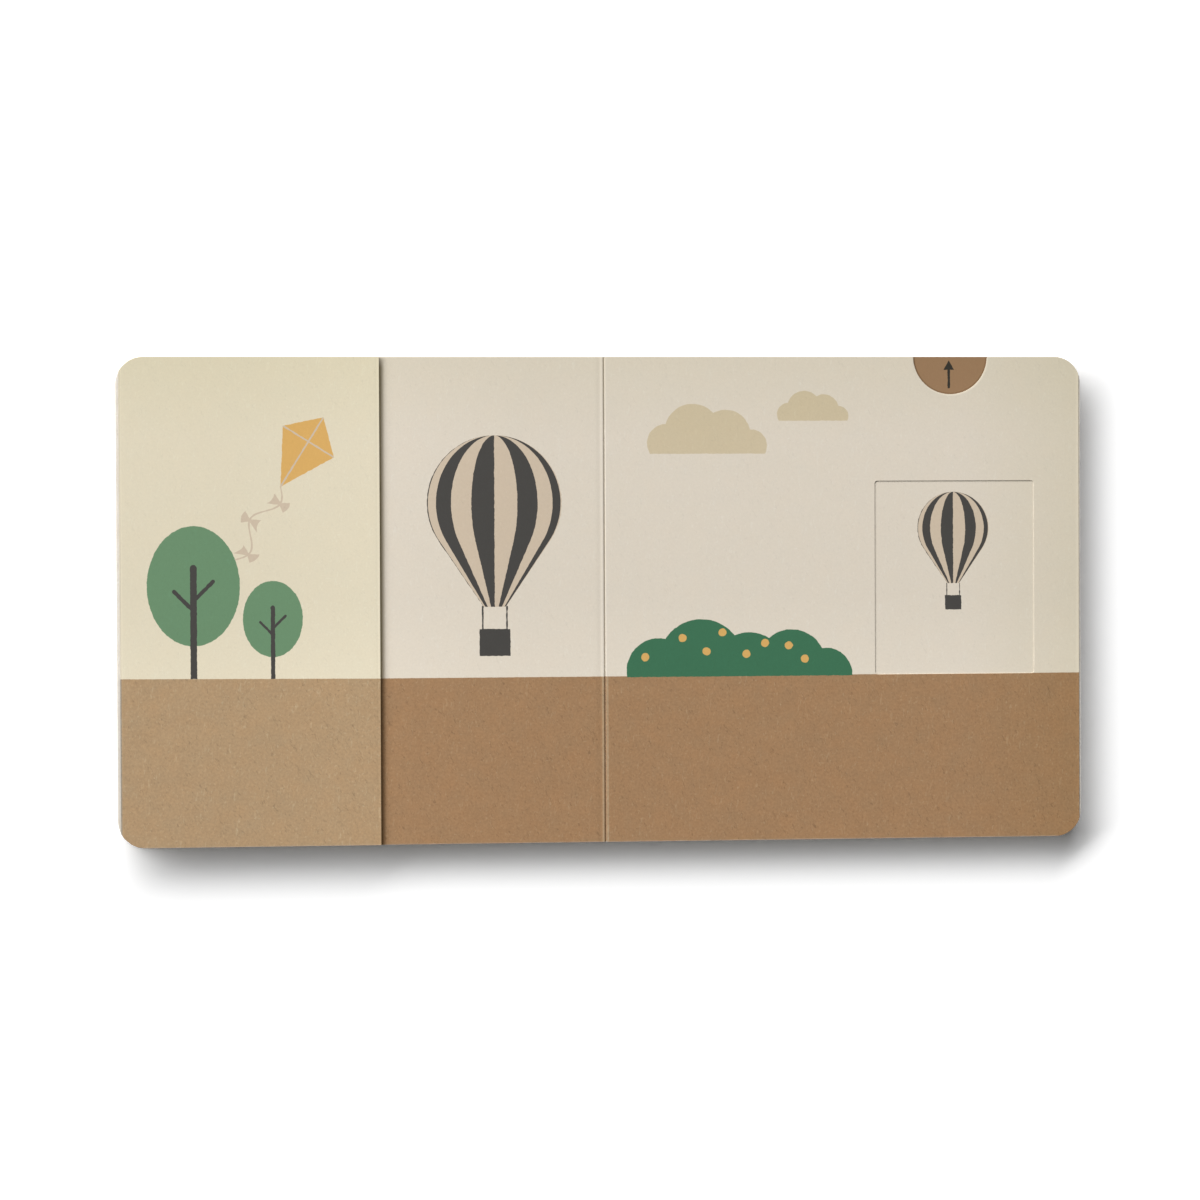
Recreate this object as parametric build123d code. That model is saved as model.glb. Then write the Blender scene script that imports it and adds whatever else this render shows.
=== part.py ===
"""A square board book lying open, with a gatefold flap on its left page and a pull card in its right one.

Millimetres, +Z up. The origin lies on the resting surface, under the middle of the gutter. +X points
across the right page to its fore-edge, and +Y points to the head of the book.
"""

import os

from build123d import *

# Outline that every sheet is trimmed to
page_width = 180.0  # gutter to fore-edge
page_height = 180.0  # tail to head
corner_radius = 10.0  # the two fore-edge corners of each half
gutter_gap = 0.3  # between the two halves, where they meet

# Card of the covers and the leaves
cover_thickness = 1.8
spine_thickness = 1.0  # cover card folded up the back of each half
spine_fold_radius = 1.0  # outside of that fold
leaf_count = 3  # whole leaves under the top sheets of each half
leaf_thickness = 2.1  # a leaf of the right half
edge_bevel = 0.25  # pressed edge of each cover and leaf

# Front sheet of the right page
window_sheet_thickness = 0.25
window_sheet_setback = 0.6  # from the fore-edge of the leaves
window_width = 60.5
window_height = 72.3
window_corner_radius = 1.0
window_margin = 17.85  # fore-edge of the leaves to the side of the window
window_sill = 61.4  # tail edge up to the foot of the window
thumb_notch_radius = 14.0
thumb_notch_offset = 1.5  # from the middle of the window towards the gutter

# Pull card that slides towards the head behind the window
card_thickness = 0.65
card_play = 0.1  # above and below the card
card_side_play = 0.5  # beside the card, and below it when it is pushed home
card_overlap = 3.75  # card behind the page on each side of the window
card_foot_overlap = 4.4  # card still below the window when it is pulled right out
card_corner_radius = 1.5
shoulder_step = 4.0  # on each side at the foot of the card, which stops against its guide's throat
shoulder_height = 10.0
guide_foot_rail = 7.5  # guide below the foot of the card

# Gatefold leaf of the left page, one card folded back over itself at the fore-edge
gatefold_thickness = 1.0
fold_setback = 1.1  # from the fore-edge of the leaves
fold_gap = 0.9  # inside the fold, between the page and the flap
flap_edge_x = 83.5  # gutter to the free edge of the flap
flap_lift = 0.4  # gap under that free edge

# Rounded lip of both top sheets where they turn down into the gutter
gutter_lip_radius = 0.2

# Levels and places that follow from the sizes above
gutter_x = gutter_gap / 2
leaf_inner_x = gutter_x + spine_thickness
leaf_stack_top = cover_thickness + leaf_count * leaf_thickness
guide_thickness = card_thickness + 2 * card_play
page_level = leaf_stack_top + guide_thickness + window_sheet_thickness
gatefold_base = page_level - gatefold_thickness
left_leaf_thickness = (gatefold_base - cover_thickness) / leaf_count
head_y = page_height / 2
tail_y = -page_height / 2
window_centre_x = page_width - window_margin - window_width / 2
thumb_notch_x = window_centre_x - thumb_notch_offset
card_width = window_width + 2 * card_overlap
card_length = page_height - guide_foot_rail - card_side_play
pull_travel = window_sill - card_foot_overlap - guide_foot_rail - card_side_play
shoulder_width = card_width + 2 * shoulder_step


def outline(inner_x, outer_x):
    """Face of the page outline between two distances from the gutter."""
    rectangle = Pos(page_width / 2, 0) * Rectangle(page_width, page_height)
    trimmed = fillet(rectangle.vertices().group_by(Axis.X)[-1], corner_radius)
    return trimmed & Pos((inner_x + outer_x) / 2, 0) * Rectangle(outer_x - inner_x, page_height)


def board(inner_x, base, thickness):
    """One thick board of the page outline, with pressed edges on its three free sides."""
    slab = Pos(0, 0, base) * extrude(outline(inner_x, page_width), thickness)
    faces = slab.faces().filter_by(Axis.Z)
    rims = [edge for edge in faces.edges() if edge.center().X > inner_x + edge_bevel]
    return chamfer(rims, edge_bevel)


def leaf_stack(thickness):
    """The leaves of one half, fused into one solid whose pressed edges leave a groove between leaves."""
    leaves = [
        board(leaf_inner_x, cover_thickness + number * thickness, thickness)
        for number in range(leaf_count)
    ]
    return leaves[0].fuse(*leaves[1:])


def cover(spine_top):
    """A cover board whose card turns up the back of its half as one half of the spine."""
    spine_half = Pos(gutter_x, 0, 0) * Box(
        spine_thickness, page_height, spine_top, align=(Align.MIN, Align.CENTER, Align.MIN)
    )
    folded = board(gutter_x, 0, cover_thickness).fuse(spine_half)
    fold_line = folded.edges().filter_by(Axis.Y).group_by(Axis.Z)[0].sort_by(Axis.X)[0]
    return fillet(fold_line, spine_fold_radius)


def round_lip(sheet):
    """A top sheet with the upper edge at its gutter side rounded."""
    top_edges = sheet.edges().filter_by(Axis.Y).group_by(Axis.X)[0].sort_by(Axis.Z)
    return fillet(top_edges[-1], gutter_lip_radius)


def gatefold_leaf():
    """Left page and flap: a J section carried from tail to head and trimmed to the page outline."""
    fold_x = page_width - fold_setback
    outer_radius = gatefold_thickness + fold_gap / 2
    fold_centre_x = fold_x - outer_radius
    fold_centre_z = page_level + fold_gap / 2
    flap_base = page_level + fold_gap
    flap_end_base = page_level + flap_lift
    section = [
        Line((gutter_x, gatefold_base), (fold_centre_x, gatefold_base)),
        ThreePointArc(
            (fold_centre_x, gatefold_base),
            (fold_x, fold_centre_z),
            (fold_centre_x, flap_base + gatefold_thickness),
        ),
        Polyline(
            (fold_centre_x, flap_base + gatefold_thickness),
            (flap_edge_x, flap_end_base + gatefold_thickness),
            (flap_edge_x, flap_end_base),
            (fold_centre_x, flap_base),
        ),
        ThreePointArc(
            (fold_centre_x, flap_base),
            (fold_centre_x + fold_gap / 2, fold_centre_z),
            (fold_centre_x, page_level),
        ),
        Polyline((fold_centre_x, page_level), (gutter_x, page_level), (gutter_x, gatefold_base)),
    ]
    folded = extrude(Plane.XZ * make_face(section), page_height / 2, both=True)
    trim = Pos(0, 0, gatefold_base) * extrude(outline(0, page_width), page_level)
    return round_lip(folded & trim)


def card_outline(extra, length_below_head, shoulder_length):
    """Face of the pull card, or with extra room of the channel round it, hung from the head edge."""
    body = Pos(window_centre_x, head_y) * Rectangle(
        card_width + 2 * extra, length_below_head, align=(Align.CENTER, Align.MAX)
    )
    foot = Pos(window_centre_x, head_y - length_below_head) * Rectangle(
        shoulder_width + 2 * extra, shoulder_length, align=(Align.CENTER, Align.MIN)
    )
    return body + foot


def pull_card():
    """The sliding card, with a wider foot as its stop and its top edge level with the head."""
    face = card_outline(0, card_length, shoulder_height)
    face = fillet(face.vertices().group_by(Axis.Y)[-1], card_corner_radius)
    return Pos(0, 0, leaf_stack_top + card_play) * extrude(face, card_thickness)


def slide_guide():
    """Spacer frame that the pull card runs in, open at the head, with a throat that stops its foot."""
    channel = card_outline(
        card_side_play, card_length + card_side_play, shoulder_height + pull_travel + 2 * card_side_play
    )
    face = outline(gutter_x, page_width) - channel
    return Pos(0, 0, leaf_stack_top) * extrude(face, guide_thickness)


def window_page():
    """Front sheet of the right page, with the window and the thumb notch cut through it."""
    window = Pos(window_centre_x, tail_y + window_sill) * RectangleRounded(
        window_width, window_height, window_corner_radius, align=(Align.CENTER, Align.MIN)
    )
    thumb_notch = Pos(thumb_notch_x, head_y) * Circle(thumb_notch_radius)
    face = outline(gutter_x, page_width - window_sheet_setback) - window - thumb_notch
    sheet = Pos(0, 0, page_level - window_sheet_thickness) * extrude(face, window_sheet_thickness)
    return round_lip(sheet)


def on_left(shape):
    """The mirror image of a shape, on the other side of the gutter."""
    return mirror(shape, Plane.YZ)


nodes = {
    "front_cover": on_left(cover(gatefold_base)),
    "left_pages": on_left(leaf_stack(left_leaf_thickness)),
    "gatefold_leaf": on_left(gatefold_leaf()),
    "back_cover": cover(leaf_stack_top),
    "right_pages": leaf_stack(leaf_thickness),
    "slide_guide": slide_guide(),
    "pull_card": pull_card(),
    "window_page": window_page(),
}

os.makedirs("parts", exist_ok=True)
for name, shape in nodes.items():
    export_step(shape, f"parts/{name}.step")
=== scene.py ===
"""Looks of an open board book with a gatefold flap on its left page and a pull card behind its right one.

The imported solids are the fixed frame. Each operator below makes or finishes one piece of the book, or a
group of like pieces, and the last one makes the stage. Lengths inside the functions are millimetres in the
frame's own axes: +X runs across the right page, +Y to the head of the book and +Z up.
"""

import math
from functools import reduce
from types import SimpleNamespace

import bmesh
import bpy
import numpy as np
from bpy.props import FloatProperty, FloatVectorProperty, PointerProperty
from mathutils import Euler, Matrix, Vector


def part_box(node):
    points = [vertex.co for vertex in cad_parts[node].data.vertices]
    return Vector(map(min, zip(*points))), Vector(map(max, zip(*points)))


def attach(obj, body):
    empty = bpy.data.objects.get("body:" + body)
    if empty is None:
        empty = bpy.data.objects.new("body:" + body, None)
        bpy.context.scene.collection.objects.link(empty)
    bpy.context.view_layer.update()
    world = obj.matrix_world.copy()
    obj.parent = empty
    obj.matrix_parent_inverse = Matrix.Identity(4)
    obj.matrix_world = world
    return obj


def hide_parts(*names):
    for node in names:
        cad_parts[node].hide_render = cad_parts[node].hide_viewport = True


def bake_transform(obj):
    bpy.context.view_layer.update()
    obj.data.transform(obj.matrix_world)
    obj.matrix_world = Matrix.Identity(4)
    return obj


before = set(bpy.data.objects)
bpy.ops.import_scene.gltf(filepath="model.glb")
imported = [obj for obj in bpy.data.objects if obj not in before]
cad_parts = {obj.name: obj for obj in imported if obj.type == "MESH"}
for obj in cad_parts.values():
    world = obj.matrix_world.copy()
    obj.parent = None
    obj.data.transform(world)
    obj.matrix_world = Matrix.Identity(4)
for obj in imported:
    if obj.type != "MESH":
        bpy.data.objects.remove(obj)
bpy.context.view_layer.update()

bl_info = {
    "name": "Board book",
    "version": (1, 0, 0),
    "blender": (4, 5, 0),
    "location": "View3D > Sidebar > Board book",
    "description": "Makes the sheets, prints and stage of an open board book around its packed solids",
    "category": "Object",
}

MM = 0.001


def corners(node):
    """Lowest and highest corner of a solid, in millimetres."""
    low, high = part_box(node)
    return np.array(low) / MM, np.array(high) / MM


# Places in the frame that several pieces share, in mm
WINDOW_LOW, WINDOW_HIGH = corners("window_page")
CARD_LOW, CARD_HIGH = corners("pull_card")
STACKS = {node: corners(node) for node in ("left_pages", "right_pages")}
PAGE_WIDTH, HALF_HEIGHT = corners("slide_guide")[1][:2]
GUTTER_X = WINDOW_LOW[0]
PAGE_LEVEL = WINDOW_HIGH[2]
FOLD_X = -corners("gatefold_leaf")[0][0]


# Sizes, colours and light that a user would change


def length(name, description, millimetres):
    """A length property, shown in the scene's units, whose default is given in millimetres."""
    return FloatProperty(
        name=name, description=description, default=millimetres * MM, min=0.0, unit="LENGTH", precision=5
    )


def linear(red, green, blue):
    """Linear colour of display values from 0 to 255."""
    shares = np.array([red, green, blue]) / 255
    return tuple(np.where(shares <= 0.04045, shares / 12.92, ((shares + 0.055) / 1.055) ** 2.4))


def ink(name, description, red, green, blue):
    """A colour property whose default is given in display values from 0 to 255."""
    return FloatVectorProperty(
        name=name,
        description=description,
        subtype="COLOR",
        size=3,
        min=0.0,
        max=1.0,
        default=linear(red, green, blue),
    )


def share(name, description, default):
    """A plain number from 0 to 2, such as a level of light."""
    return FloatProperty(
        name=name, description=description, default=default, min=0.0, max=2.0, subtype="FACTOR"
    )


class BookSizes(bpy.types.PropertyGroup):
    """Sizes that the sheets are cut, folded and pressed to."""

    corner_radius: length("Corner radius", "Radius of the fore-edge corners", 10.0)
    gutter_lip: length("Gutter lip", "Rounding of both pages where they turn down into the gutter", 0.5)
    hollow_depth: length("Hollow depth", "Depth of the hollow in the left page beside the gutter", 0.07)
    hollow_place: length("Hollow place", "Distance from the gutter edge to the bottom of that hollow", 1.5)
    hollow_width: length("Hollow width", "Half-width of that hollow towards the gutter", 0.55)
    hollow_run: length("Hollow run", "Half-width of that hollow away from the gutter", 1.0)
    edge_burr: length("Edge burr", "Height that die cutting raises along the right fore-edge", 0.07)
    edge_burr_width: length("Burr width", "Width of that raised edge", 0.7)
    flap_dip: length("Flap dip", "Depth of the shallow hollow just inside the flap's free edge", 0.025)
    flap_dip_place: length("Flap dip place", "Distance of that hollow from the free edge", 0.95)
    flap_dip_width: length("Flap dip width", "Half-width of that hollow", 0.38)
    cut_corner: length("Cut corner", "Rounding of the sharp corners that the die cuts", 0.65)
    card_rim: length("Card rim", "Rounding of the cut edges of the gatefold card", 0.12)
    gatefold_thickness: length("Gatefold thickness", "Thickness of the folded card", 1.0)
    fold_gap: length("Fold gap", "Gap inside the fold", 0.9)
    flap_edge: length("Flap edge", "Distance from the gutter to the flap's free edge", 83.5)
    flap_lift: length("Flap lift", "Gap under the flap's free edge", 0.4)
    window_width: length("Window width", "Width of the window in the right page", 60.5)
    window_height: length("Window height", "Height of the window in the right page", 72.3)
    window_corner: length("Window corner", "Radius of the window's corners", 1.0)
    window_margin: length("Window margin", "Fore-edge of the leaves to the window", 17.85)
    window_sill: length("Window sill", "Tail edge to the foot of the window", 61.4)
    notch_radius: length("Notch radius", "Radius of the thumb notch", 14.0)
    notch_offset: length("Notch offset", "Notch to the middle of the window, towards the gutter", 1.5)
    sheet_rim: length("Sheet rim", "Rounding of the cut edges of the thin sheets", 0.08)
    sheet_drop: length("Sheet drop", "Depth of the front sheet's lip at the gutter", 0.18)
    card_rise: length("Card rise", "Lift of the pull card to the underside of the front sheet", 0.08)
    card_corner: length("Card corner", "Radius of the pull card's upper corners", 1.5)
    shoulder_step: length("Shoulder step", "Width of the stop on each side of the card's foot", 4.0)
    shoulder_height: length("Shoulder height", "Height of those stops", 10.0)
    leaf_rim: length("Leaf rim", "Rounding of the leaves' cut edges", 0.3)
    leaf_groove: length("Leaf groove", "Depth of the groove between two leaves", 0.9)
    leaf_stagger: length("Leaf stagger", "Most that one leaf is trimmed short of the next", 0.16)
    spine_skin: length("Spine skin", "Thickness of the paper that joins the halves in the gutter", 0.06)
    gutter_depth: length("Gutter depth", "Depth of that paper's crest below the pages", 0.3)
    ground_line: length("Ground height", "Tail edge to the top of the printed ground", 61.5)


class BookColours(bpy.types.PropertyGroup):
    """Colours of the boards and of the printed inks."""

    flap_sky: ink("Flap sky", "Pale field on the flap", 223, 213, 188)
    page_sky: ink("Page sky", "Pale field on both pages", 219, 209, 193)
    flap_ground: ink("Flap ground", "Brown field on the flap", 175, 146, 111)
    page_ground: ink("Page ground", "Brown field on both pages", 159, 124, 89)
    board_core: ink("Board core", "Cut edges of the boards", 216, 211, 203)
    wrap: ink("Cover wrap", "Brown paper on the outside of the covers", 168, 134, 100)
    flap_green: ink("Flap green", "Green ink on the flap", 103, 138, 104)
    page_green: ink("Page green", "Green ink on the pages", 54, 106, 76)
    ochre: ink("Ochre", "Ochre ink", 214, 169, 97)
    charcoal: ink("Charcoal", "Charcoal ink", 62, 60, 57)
    grip: ink("Grip", "Brown field that shows in the thumb notch", 151, 119, 88)
    grip_mark: ink("Grip mark", "Dark ink of the arrow on the brown grip", 36, 33, 25)
    # Painted shade: the dark tint multiplied into the paper beside the flap's free edge, in the gutter and
    # under the rim of the thumb notch
    painted_shade: ink("Soil", "Tint of the dark lines that cut edges rub into the paper under them", 157, 147, 114)
    # The fold's line: part wear, part painted shade in the crease
    crease: ink("Crease", "Rubbed and soiled line along the flap's fold", 124, 118, 107)
    taupe: ink("Taupe", "Taupe ink", 203, 186, 164)
    beige: ink("Beige", "Beige ink", 203, 188, 158)


class StageLight(bpy.types.PropertyGroup):
    """Light and camera of the stage."""

    key_light: share("Key light", "Light from the lamp on a level page", 0.875)
    fill_light: share("Fill light", "Light from all round on a level page", 0.11)
    floor_shown: share("Floor shown", "Floor's colour for the camera, which makes its lit part white", 1.25)
    lamp_bearing: FloatProperty(
        name="Lamp bearing", description="Turn of the lamp from the head towards the left",
        default=math.radians(39), subtype="ANGLE",
    )
    lamp_height: FloatProperty(
        name="Lamp height", description="Angle of the lamp above the floor",
        default=math.radians(32), subtype="ANGLE",
    )
    lamp_distance: FloatProperty(
        name="Lamp distance", description="Lamp to the middle of the book", default=8.0, unit="LENGTH"
    )
    lamp_width: FloatProperty(
        name="Lamp width", description="Level side of the oblong lamp", default=20.0, unit="LENGTH"
    )
    lamp_depth: FloatProperty(
        name="Lamp depth", description="Slanting side of the oblong lamp", default=3.6, unit="LENGTH"
    )
    camera_place: FloatVectorProperty(
        name="Camera place", description="Where the camera stands", size=3,
        default=(-0.19371, 0.03089, 1.6124), subtype="TRANSLATION",
    )
    camera_turn: FloatVectorProperty(
        name="Camera turn", description="Turn of the camera from looking straight down", size=3,
        default=tuple(math.radians(angle) for angle in (-1.0704, -6.8294, -0.2501)), subtype="EULER",
    )
    focal_length: FloatProperty(
        name="Focal length", description="Focal length on a sensor 36 mm wide", default=130.67, unit="CAMERA"
    )


def in_mm(group):
    """All lengths of a property group, in millimetres."""
    return SimpleNamespace(**{name: getattr(group, name) / MM for name in group.__annotations__})


# Shader maths


# Share of each finer octave in the noise, and specular level of uncoated paper
NOISE_ROUGHNESS = 0.55
PAPER_SPECULAR = 0.3


class Field:
    """A value that varies over a surface: it wraps a node's socket, and operators on it add Math nodes."""

    def __init__(self, paint, socket):
        self.paint = paint
        self.socket = socket

    def __add__(self, other):
        return self.paint.math("ADD", self, other)

    def __sub__(self, other):
        return self.paint.math("SUBTRACT", self, other)

    def __rsub__(self, other):
        return self.paint.math("SUBTRACT", other, self)

    def __mul__(self, other):
        return self.paint.math("MULTIPLY", self, other)

    def __truediv__(self, other):
        return self.paint.math("DIVIDE", self, other)

    def __neg__(self):
        return self.paint.math("MULTIPLY", self, -1.0)

    def __abs__(self):
        return self.paint.math("ABSOLUTE", self)

    __radd__ = __add__
    __rmul__ = __mul__

    def root(self):
        return self.paint.math("SQRT", self)

    def sine(self):
        return self.paint.math("SINE", self)

    def arcsine(self):
        return self.paint.math("ARCSINE", self)

    def remainder(self, step):
        return self.paint.math("FLOORED_MODULO", self, step)

    def clamped(self):
        return self.paint.math("ADD", self, 0.0, clamp=True)


def least(*fields):
    """The smallest of several fields or numbers, with a field first."""
    return reduce(lambda one, other: one.paint.math("MINIMUM", one, other), fields)


def most(*fields):
    """The largest of several fields or numbers, with a field first."""
    return reduce(lambda one, other: one.paint.math("MAXIMUM", one, other), fields)


class Nodes:
    """The node tree of a material or of the world, emptied and built node by node."""

    def __init__(self, owner):
        owner.use_nodes = True
        self.owner = owner
        self.tree = owner.node_tree
        self.tree.nodes.clear()

    def node(self, kind, settings, values):
        """One node: its settings are set first, then each socket gets its value or its link."""
        made = self.tree.nodes.new(kind)
        for key, setting in settings.items():
            setattr(made, key, setting)
        for key, value in values.items():
            if isinstance(value, Field):
                self.tree.links.new(value.socket, made.inputs[key])
            else:
                made.inputs[key].default_value = value
        return made

    def math(self, operation, *values, clamp=False):
        settings = {"operation": operation, "use_clamp": clamp}
        return Field(self, self.node("ShaderNodeMath", settings, dict(enumerate(values))).outputs[0])

    def seen(self):
        """1 where the camera looks, also by reflection or through glass, and 0 for light on things."""
        paths = self.node("ShaderNodeLightPath", {}, {})
        rays = ("Camera", "Glossy", "Transmission")
        return most(*(Field(self, paths.outputs[f"Is {ray} Ray"]) for ray in rays))


class Paint(Nodes):
    """One procedural material, with the place on the piece as x, y and z in mm."""

    def __init__(self, name):
        super().__init__(bpy.data.materials.new(name))
        self.place = Field(self, self.node("ShaderNodeTexCoord", {}, {}).outputs["Object"])
        apart = self.node("ShaderNodeSeparateXYZ", {}, {0: self.place})
        self.x, self.y, self.z = (Field(self, axis) / MM for axis in apart.outputs)

    def mix(self, factor, first, second, blend="MIX"):
        """Two colours mixed by a factor: given as fields or as linear triples."""
        colours = [colour if isinstance(colour, Field) else (*colour, 1.0) for colour in (first, second)]
        settings = {"data_type": "RGBA", "blend_type": blend}
        node = self.node("ShaderNodeMix", settings, {0: factor, 6: colours[0], 7: colours[1]})
        return Field(self, node.outputs[2])

    def colour(self, red, green, blue):
        return Field(self, self.node("ShaderNodeCombineColor", {}, {0: red, 1: green, 2: blue}).outputs[0])

    def noise(self, size, detail=2.0, stretch=(1.0, 1.0, 1.0), turn=0.0, bend=0.0):
        """Noise about 0.5 with cells so many mm across, longer by the stretch, turned about z and bent."""
        vector = self.place
        if stretch != (1.0, 1.0, 1.0):
            scale = tuple(1.0 / part for part in stretch)
            mapping = {"Vector": vector, "Rotation": (0.0, 0.0, turn)}
            rotated = self.node("ShaderNodeMapping", {"vector_type": "POINT"}, mapping)
            squeeze = {0: Field(self, rotated.outputs[0]), 1: scale}
            squeezed = self.node("ShaderNodeVectorMath", {"operation": "MULTIPLY"}, squeeze)
            vector = Field(self, squeezed.outputs[0])
        values = {
            "Vector": vector,
            "Scale": 1.0 / (size * MM),
            "Detail": detail,
            "Roughness": NOISE_ROUGHNESS,
            "Distortion": bend,
        }
        return Field(self, self.node("ShaderNodeTexNoise", {}, values).outputs[0])

    def finish(self, colour, roughness, height, depth):
        """Ends the material: a dielectric of that colour and roughness, with the height as bump in mm."""
        bump = self.node("ShaderNodeBump", {}, {"Strength": 1.0, "Distance": depth * MM, "Height": height})
        values = {
            "Base Color": colour,
            "Roughness": roughness,
            "Specular IOR Level": PAPER_SPECULAR,
            "Normal": Field(self, bump.outputs[0]),
        }
        shader = self.node("ShaderNodeBsdfPrincipled", {}, values)
        self.node("ShaderNodeOutputMaterial", {}, {"Surface": Field(self, shader.outputs[0])})
        return self.owner


# Printed shapes, each as a distance in mm that is negative inside


# Softness of an ink's edge, how far the edge wanders and the cells of that wandering, in mm, the share of it
# that the ground's edge has, and how far inks overlap
INK_EDGE = 0.14
INK_WOBBLE = 0.5
WOBBLE_CELL = 1.6
GROUND_WOBBLE = 0.4
INK_OVERLAP = 0.35
# Puffs of a cloud, each as its place across and up and its radius, and the drop to the cloud's flat base
CLOUD_PUFFS = ((-15, 1, 7), (-5, 5, 10.5), (7.5, 4, 9.3), (17, 0, 6))
CLOUD_BASE = 3
STRIPE_COUNT = 9


def inside(distance, softness=INK_EDGE):
    """1 inside a shape and 0 outside, with a short ramp over its edge."""
    return (0.5 - distance / softness).clamped()


def disc(x, y, centre, radius):
    """Distance to a circle."""
    across = x - centre[0]
    up = y - centre[1]
    return (across * across + up * up).root() - radius


def oval(x, y, centre, half_width, half_height):
    """Near distance to an ellipse: the distance to a circle in squeezed axes, times its smaller half-axis."""
    across = (x - centre[0]) / half_width
    up = (y - centre[1]) / half_height
    return ((across * across + up * up).root() - 1.0) * min(half_width, half_height)


def stroke(x, y, start, stop, width):
    """Distance to a straight stroke with round ends: the distance to the nearest point of its middle line."""
    run = (stop[0] - start[0], stop[1] - start[1])
    across = x - start[0]
    up = y - start[1]
    along = ((across * run[0] + up * run[1]) / (run[0] ** 2 + run[1] ** 2)).clamped()
    beside = across - along * run[0]
    above = up - along * run[1]
    return (beside * beside + above * above).root() - width / 2


def block(x, y, low, high):
    """Distance to an upright rectangle between two corners."""
    return most(x - high[0], low[0] - x, y - high[1], low[1] - y)


def turned(x, y, centre, angle):
    """The axes moved to a centre and turned by an angle in degrees."""
    cosine = math.cos(math.radians(angle))
    sine = math.sin(math.radians(angle))
    across = x - centre[0]
    up = y - centre[1]
    return across * cosine + up * sine, up * cosine - across * sine


def cloud(x, y, centre, scale):
    """Four puffs side by side on a flat base."""
    discs = [
        disc(x, y, (centre[0] + scale * across, centre[1] + scale * up), scale * radius)
        for across, up, radius in CLOUD_PUFFS
    ]
    return most(least(*discs), (centre[1] - CLOUD_BASE * scale) - y)


def tree(x, y, foot, crown_height, half_width, half_height):
    """An oval crown and a trunk with two boughs, as two distances."""
    middle = (foot[0], foot[1] + crown_height)
    trunk_width = half_width / 7
    trunk_top = middle[1] + 0.3 * half_height
    fork = foot[1] + crown_height - 0.25 * half_height
    bough = half_width * 0.42
    bough_width = trunk_width * 0.6
    trunk = least(
        stroke(x, y, foot, (foot[0], trunk_top), trunk_width),
        stroke(x, y, (foot[0], fork), (foot[0] + bough, fork + bough), bough_width),
        stroke(x, y, (foot[0], fork - bough / 2), (foot[0] - bough, fork + bough / 2), bough_width),
    )
    return oval(x, y, middle, half_width, half_height), most(trunk, foot[1] - y)


def bushes(x, y, ground, puffs):
    """A row of round bushes cut off just below the ground's edge.

    Each is a place along the ground, a height above it and a radius.
    """
    discs = [disc(x, y, (along, ground + up), radius) for along, up, radius in puffs]
    return most(least(*discs), ground - INK_OVERLAP - y)


def kite(x, y, centre, angle, half_width, half_height):
    """A kite, its spars and its tail with bows, as three distances in the kite's own turned axes."""
    half_spar, half_string, half_knot, half_bow = 0.3, 0.35, 0.4, 3.4
    bow_flare, bow_step = 0.55, 11.0
    swing_reach, swing_step = 3.2, 21
    across, up = turned(x, y, centre, angle)
    shoulder = 0.3 * half_height
    upper = abs(across) / half_width + most(up - shoulder, 0.0) / (half_height - shoulder)
    lower = most(shoulder - up, 0.0) / (half_height + shoulder)
    sail = (upper + lower - 1.0) * (half_width * 0.75)
    spars = most(least(abs(across), abs(up - shoulder)) - half_spar, sail)
    tail_length = 2.1 * half_height
    below = -half_height - up
    from_string = abs(across - (below * (2 * math.pi / swing_step)).sine() * swing_reach)
    from_knot = abs(below.remainder(bow_step) - bow_step / 2)
    bow = most(from_knot - from_string * bow_flare - half_knot, from_string - half_bow)
    tail = most(least(from_string - half_string, bow), -below, below - tail_length)
    return sail, spars, tail


def balloon(x, y, centre, radius):
    """A striped balloon: its envelope, its stripes, its ropes and its basket, as four distances.

    The envelope is a large circle and a small one below it with their common tangents. A stripe follows a
    meridian: the share of the envelope's half-width at that height is the sine of an angle, and every
    other equal step of that angle is dark.
    """
    across = x - centre[0]
    up = y - centre[1]
    mouth = 0.2 * radius
    drop = 1.42 * radius
    lean = (radius - mouth) / drop
    flare = math.sqrt(1 - lean * lean)
    slope = flare * (radius - mouth) / (drop - lean * (radius - mouth))
    thinnest, narrowest, sine_limit, sharpness = 0.01, 0.5, 0.999, 1000.0
    dome = most(radius * radius - up * up, 0.0).root()
    cone = most((up + drop + mouth * lean) * slope + mouth * flare, thinnest)
    upper = ((up + radius * lean) * sharpness).clamped()
    half_width = dome * upper + cone * (1.0 - upper)
    foot = -(drop + mouth * lean)
    envelope = most(abs(across) - half_width, foot - up, up - radius) * flare
    turn = most(least(across / most(half_width, narrowest), sine_limit), -sine_limit).arcsine()
    stripes = most((turn * STRIPE_COUNT).sine() * half_width / STRIPE_COUNT, envelope)
    basket_top = foot - 0.36 * radius
    basket_half = 0.2 * radius
    basket_height = 0.34 * radius
    basket_corner = 0.03 * radius
    basket = block(
        x, y, (centre[0] - basket_half, centre[1] + basket_top - basket_height),
        (centre[0] + basket_half, centre[1] + basket_top),
    ) - basket_corner
    rope_width = 0.025 * radius
    rope_place = 0.9
    ropes = []
    for side in (-1, 1):
        upper_end = (centre[0] + side * mouth * rope_place, centre[1] + foot)
        lower_end = (centre[0] + side * basket_half * rope_place, centre[1] + basket_top)
        ropes.append(stroke(x, y, upper_end, lower_end, rope_width))
    return envelope, stripes, least(*ropes), basket


def up_arrow(x, y, tip, head_length, head_width, shaft_width, shaft_length):
    """An arrow that points to the head: a triangle on a straight shaft."""
    below = tip[1] - y
    across = abs(x - tip[0])
    head = most(across - below * (head_width / 2 / head_length), below - head_length)
    shaft_top = 0.9 * head_length
    shaft = most(across - shaft_width / 2, shaft_top - below, below - head_length - shaft_length)
    return least(head, shaft)
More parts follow.
